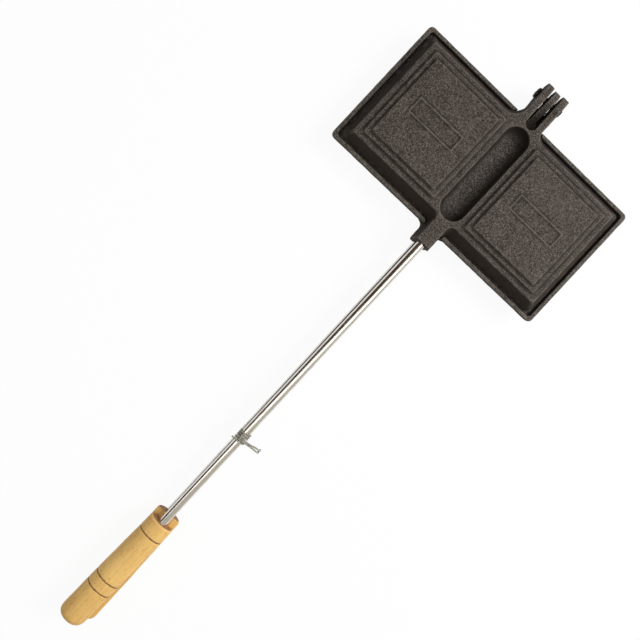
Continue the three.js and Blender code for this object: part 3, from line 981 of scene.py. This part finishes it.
@dataclass
class Rods:
    """The two rods of the handles. Sizes are in millimetres."""

    sides: int = 72
    step: float = 4.0
    rounding: float = 0.8

    def build(self, tree: bpy.types.GeometryNodeTree, finish: bpy.types.Material) -> None:
        """Builds and dresses both rods.

        Args:
            tree: the tree from sweep_tree.
            finish: their material.
        """
        for side, body in (("upper", Body.UPPER_HALF), ("lower", Body.LOWER_HALF)):
            low, high, along, radius = axis_of(f"{side}_rod")
            line = np.array([low, low + along * self.rounding, high - along * self.rounding, high])
            bar = RoundBar(f"{side}_drawn_rod", line, radius, self.sides, self.step, self.rounding)
            dress(bar.build(tree, finish), finish, body, [f"{side}_rod"])


@dataclass
class Grips:
    """The two half-round grips, with their burnt grooves and end grain.

    Sizes are in millimetres, and the grooves are measured from the mouth. The values that end in
    _from and _fade are shares of a face's direction.
    """

    voxel: float = 0.42
    passes: int = 3
    upper_swell: Swell = Swell(0.05, 9.0, 30.0, seed=31)
    lower_swell: Swell = Swell(0.05, 9.0, 30.0, seed=47)
    grooves: tuple[float, ...] = (15.0, 69.5, 81.0)
    groove_half: float = 0.8
    groove_fade: float = 0.5
    ragged: Swell = Swell(0.12, 2.0, 6.0, seed=5)
    flat_from: float = 0.6
    flat_fade: float = 0.3
    sawn_from: float = 0.8
    sawn_fade: float = 0.15
    end_depth: float = 0.9
    far_end: float = 0.45
    axis_samples: int = 4000

    def build(self, finish: bpy.types.Material) -> None:
        """Builds and dresses both grips.

        Args:
            finish: their material.
        """
        for side, body, swell in (
            ("upper", Body.UPPER_HALF, self.upper_swell),
            ("lower", Body.LOWER_HALF, self.lower_swell),
        ):
            node = f"{side}_grip"
            piece = SoftenedSolid(node, f"{side}_turned_grip", self.voxel, self.passes, swell).build()
            self.mark(piece.data)
            dress(piece, finish, body, [node])

    def mark(self, mesh: bpy.types.Mesh) -> None:
        """Stores where the turned side is burnt and where the wood shows end grain.

        Args:
            mesh: the mesh of a grip.
        """
        points = points_of(mesh) / MM
        mouth, along = self.line(points)
        reach = (points - mouth) @ along
        ragged = self.ragged.at(points * MM) / MM
        burn = np.zeros(len(points))
        for groove in self.grooves:
            near = 1 - np.abs(reach + ragged - groove) / self.groove_half
            burn = np.maximum(burn, ramp(near, 0, self.groove_fade))
        normals = normals_of(mesh)
        inwards = normals[:, 2] * np.sign(joint_place("plates_hinge")[2] - points[:, 2].mean())
        burn *= 1 - ramp(inwards, self.flat_from, self.flat_fade)
        sawn = ramp(np.abs(normals @ along), self.sawn_from, self.sawn_fade)
        nearest = np.minimum(reach, reach.max() - reach)
        end = sawn * (1 - ramp(nearest, self.end_depth / 2, self.end_depth))
        end[reach > reach.max() / 2] *= self.far_end
        put_attribute(mesh, "burn", burn)
        put_attribute(mesh, "end_grain", end)

    def line(self, points: np.ndarray) -> tuple[np.ndarray, np.ndarray]:
        """Finds a grip's mouth and the direction from there to its far end.

        Args:
            points: its vertices in millimetres.

        Returns:
            A point in the mouth's plane and the direction.
        """
        centre = points.mean(0)
        some = (points - centre)[:: max(1, len(points) // self.axis_samples)]
        _, _, axes = np.linalg.svd(some, full_matrices=False)
        along = axes[0] * -np.sign(axes[0][1])
        reach = (points - centre) @ along
        return centre + along * reach.min(), along


@dataclass
class Latch:
    """The wire latch: a narrow hook between turns of wire round the rod. Sizes are in millimetres."""

    wire_radius: float = 0.75
    eye_clearance: float = 0.4
    coil_half: float = 5.2
    coil_turns: int = 3
    root_shift: float = -2.2
    root_half: float = 1.0
    waist_reach: float = 10.0
    waist_half: float = 0.8
    tip_half: float = 1.2
    tip_shift: float = -0.2
    jaw_clearance: float = 0.3
    jaw_drop: float = 8.0
    jaw_bend: float = 2.0
    stub_reach: float = 8.0
    rod_height: float = 7.5
    eye_steps: int = 12
    curve_steps: int = 14
    least_gap: float = 1e-4
    sides: int = 20
    step: float = 0.35
    rounding: float = 0.3

    def corners(self, rod_radius: float) -> np.ndarray:
        """Lists the points that the wire's middle passes, in the frame of the rod.

        Args:
            rod_radius: radius of the rod in the turns.

        Returns:
            The points in order, with y along the rod towards the plates.
        """
        eye_radius = rod_radius + self.eye_clearance + self.wire_radius
        reach = 2 * self.rod_height + rod_radius + self.jaw_clearance + self.wire_radius
        waist = self.root_shift + (self.tip_shift - self.root_shift) * self.waist_reach / reach

        def coil(start: float, end: float, turns: int, sense: float) -> np.ndarray:
            """Winds the wire round the rod.

            Args:
                start: where it begins along the rod.
                end: where it ends.
                turns: number of whole turns.
                sense: 1 or -1 for the way round.

            Returns:
                The points in order.
            """
            share = np.linspace(0, 1, turns * self.eye_steps + 1)
            angle = 2 * math.pi * turns * share
            y = start + (end - start) * share
            return np.stack([sense * eye_radius * np.sin(angle), y, eye_radius * np.cos(angle)], 1)

        def leg(sense: float) -> np.ndarray:
            """Bends one leg of the hook.

            Args:
                sense: 1 for the leg nearer the plates, -1 for the other.

            Returns:
                The points from the rod to the jaw.
            """
            y = self.tip_shift + sense * self.tip_half
            return np.array(
                [
                    [self.waist_reach, waist + sense * self.waist_half, eye_radius],
                    [reach - 2 * self.jaw_bend, y, eye_radius],
                    [reach - self.jaw_bend / 2, y, eye_radius - self.jaw_bend / 4],
                    [reach, y, eye_radius - 2 * self.jaw_bend],
                    [reach, y, eye_radius - self.jaw_drop + self.tip_half],
                ]
            )

        return np.concatenate(
            [
                [[-self.stub_reach, -self.coil_half, eye_radius]],
                coil(-self.coil_half, self.root_shift - self.root_half, 1, 1),
                leg(-1),
                [[reach, self.tip_shift, eye_radius - self.jaw_drop]],
                leg(1)[::-1],
                coil(self.root_shift + self.root_half, self.coil_half, self.coil_turns, -1),
            ]
        )

    def smooth_line(self, corners: np.ndarray) -> np.ndarray:
        """Passes a centripetal curve through points.

        Args:
            corners: the points.

        Returns:
            The samples, from the first point to the last.
        """
        padded = np.concatenate([[2 * corners[0] - corners[1]], corners, [2 * corners[-1] - corners[-2]]])
        samples = []
        for a, b, c, d in zip(padded, padded[1:], padded[2:], padded[3:]):
            gaps = (max(np.linalg.norm(q - p) ** 0.5, self.least_gap) for p, q in ((a, b), (b, c), (c, d)))
            ab, bc, cd = gaps
            leave = ((b - a) / ab - (c - a) / (ab + bc) + (c - b) / bc) * bc
            arrive = ((c - b) / bc - (d - b) / (bc + cd) + (d - c) / cd) * bc
            t = np.linspace(0, 1, self.curve_steps, endpoint=False)[:, None]
            curve = (2 * t**3 - 3 * t**2 + 1) * b + (t**3 - 2 * t**2 + t) * leave
            samples.append(curve + (3 * t**2 - 2 * t**3) * c + (t**3 - t**2) * arrive)
        return np.concatenate([*samples, corners[-1:]])

    def build(self, tree: bpy.types.GeometryNodeTree, finish: bpy.types.Material) -> None:
        """Builds and dresses the latch.

        Args:
            tree: the tree from sweep_tree.
            finish: its material.
        """
        _, _, along, radius = axis_of("upper_rod")
        up = np.array([0.0, 0.0, 1.0])
        curve = self.smooth_line(self.corners(radius))
        line = joint_place("latch_swing") + curve @ np.stack([np.cross(along, up), along, up])
        bar = RoundBar("bent_wire_latch", line, self.wire_radius, self.sides, self.step, self.rounding)
        dress(bar.build(tree, finish), finish, Body.LATCH, ["latch_clip"])


@dataclass(frozen=True)
class Softbox:
    """A soft lamp that points at the iron. Its place and its two sides are in metres.

    The place is to the image's right, up in the image and above the floor. The power is in watts,
    and the turn of the long side from the image's horizontal in degrees.
    """

    name: str
    right: float
    up: float
    height: float
    long_side: float
    short_side: float
    power: float
    turn: float = 0.0


@dataclass
class Studio:
    """A pale floor, soft light from above and one side, and the photograph's camera.

    The camera's centre is in millimetres and its turn in degrees. The other places are in metres.
    """

    centre: tuple[float, float, float] = (-65.01, 23.34, 671.2)
    turn: tuple[float, float, float] = (2.622, -3.207, -0.2285)
    image_right: tuple[float, float, float] = (0.730, 0.683, 0.0)
    focal_pixels: float = 725.0
    seen_from: float = 0.05
    seen_to: float = 20.0
    floor_half: float = 4.0
    floor_drop: float = 0.0004
    floor_white: float = 0.93
    floor_grey: float = 0.9
    strip: Softbox = Softbox("strip_softbox", 0.05, -0.06, 1.1, 2.5, 0.42, power=6.2, turn=-16.0)
    key: Softbox = Softbox("key_softbox", 1.5, 0.1, 1.3, 0.9, 0.9, power=30.0)
    ambient: float = 0.23
    room_dark: str = "#4a3a2c"
    room_pale: str = "#c9c4b6"
    room_fade: Span = Span(-0.35, 0.3)

    def image_axes(self) -> tuple[Vector, Vector]:
        """Gives the directions on the floor that are right and up in the image."""
        right = Vector(self.image_right).normalized()
        return right, Vector((-right.y, right.x, 0))

    def camera(self) -> None:
        """Places the camera as the photograph was taken."""
        right, up = self.image_axes()
        base = Matrix((right, -up, Vector((0, 0, -1))))
        turn = Vector(self.turn)
        rotation = Matrix.Rotation(math.radians(turn.length), 3, turn.normalized()) @ base
        axes = Matrix((rotation[0], -rotation[1], -rotation[2])).transposed()
        data = bpy.data.cameras.new("photo_camera")
        data.sensor_width = SENSOR_WIDTH
        data.lens = self.focal_pixels * SENSOR_WIDTH / PHOTO_WIDTH
        data.clip_start, data.clip_end = self.seen_from, self.seen_to
        camera = bpy.data.objects.new("photo_camera", data)
        camera.matrix_world = Matrix.Translation(Vector(self.centre) * MM) @ axes.to_4x4()
        bpy.context.scene.collection.objects.link(camera)
        bpy.context.scene.camera = camera

    def floor(self) -> None:
        """Lays a pale floor just under the iron."""
        mesh = bpy.data.meshes.new("floor")
        h, z = self.floor_half, -self.floor_drop
        mesh.from_pydata([(-h, -h, z), (h, -h, z), (h, h, z), (-h, h, z)], [], [(0, 1, 2, 3)])
        surface, tree = new_surface("pale_floor")
        path = add_node(tree, "ShaderNodeLightPath").outputs
        rays = ((1.0, path["Is Glossy Ray"]), (1.0, path["Is Transmission Ray"]))
        shown = summed(tree, path["Is Camera Ray"], *rays)
        share = add_node(tree, "ShaderNodeMath", {0: shown, 1: self.floor_white}, operation="MULTIPLY")
        matt = add_node(tree, "ShaderNodeBsdfDiffuse", {"Color": grey(self.floor_grey)})
        glow = add_node(tree, "ShaderNodeEmission", {"Color": grey(1), "Strength": 1.0})
        both = add_node(tree, "ShaderNodeMixShader", {0: share, 1: matt, 2: glow})
        add_node(tree, "ShaderNodeOutputMaterial", {"Surface": both})
        mesh.materials.append(surface)
        link_mesh("floor", mesh)

    def lamp(self, box: Softbox) -> None:
        """Hangs a soft lamp and points it at the iron.

        Args:
            box: its place, size and power.
        """
        data = bpy.data.lights.new(box.name, "AREA")
        data.shape = "RECTANGLE"
        data.size, data.size_y = box.long_side, box.short_side
        data.energy = box.power
        right, up = self.image_axes()
        spot = right * box.right + up * box.up + Vector((0, 0, box.height))
        back = spot.normalized()
        length = Matrix.Rotation(math.radians(box.turn), 3, "Z") @ right
        side = (length - back * length.dot(back)).normalized()
        axes = Matrix((side, back.cross(side), back)).transposed()
        lamp = bpy.data.objects.new(box.name, data)
        lamp.matrix_world = Matrix.Translation(spot) @ axes.to_4x4()
        bpy.context.scene.collection.objects.link(lamp)

    def world(self) -> None:
        """Surrounds the scene with plain light and a white background, and mirrors with a room."""
        world = bpy.data.worlds.new("studio")
        world.use_nodes = True
        tree = world.node_tree
        tree.nodes.clear()
        path = add_node(tree, "ShaderNodeLightPath").outputs
        shown = summed(tree, path["Is Camera Ray"], (1.0, path["Is Transmission Ray"]))
        place = add_node(tree, "ShaderNodeTexCoord").outputs["Generated"]
        up = tuple(self.image_axes()[1])
        towards = add_node(tree, "ShaderNodeVectorMath", {0: place, 1: up}, operation="DOT_PRODUCT")
        dark = add_node(tree, "ShaderNodeMapRange", self.room_fade.inputs(towards))
        room = layered(tree, self.room_pale, (dark, self.room_dark))
        over = ((path["Is Glossy Ray"], room), (shown, grey(1)))
        colour = layered(tree, grey(self.ambient), *over)
        light = add_node(tree, "ShaderNodeBackground", {"Color": colour, "Strength": 1.0})
        add_node(tree, "ShaderNodeOutputWorld", {"Surface": light})
        bpy.context.scene.world = world

    def build(self) -> None:
        """Sets up the camera, floor, lamps and world."""
        self.camera()
        self.floor()
        self.lamp(self.strip)
        self.lamp(self.key)
        self.world()
        bpy.context.scene.view_settings.view_transform = "Standard"


def keep_node(node: str, finish: bpy.types.Material) -> None:
    """Gives a CAD node that stays its real finish.

    Args:
        node: the node's name.
        finish: its material.
    """
    for place in frame["nodes"][node].material_slots:
        place.material = finish
    log.info("%s: kept from the CAD", node)


def main() -> None:
    """Builds the iron's looks and the studio."""
    logging.basicConfig(level=logging.INFO, format="%(name)s: %(message)s")
    Studio().build()
    iron, steel = SeasonedIron().material(), RivetSteel().material()
    plated, zinc, wood = PlatedRod().material(), LatchWire().material(), TurnedWood().material()
    sweep = sweep_tree()
    Castings().build(iron)
    Knuckle().build(steel)
    Rods().build(sweep, plated)
    Grips().build(wood)
    Latch().build(sweep, zinc)
    for node in ("upper_grip_brad", "lower_grip_brad"):
        keep_node(node, steel)


if __name__ == "__main__":
    main()
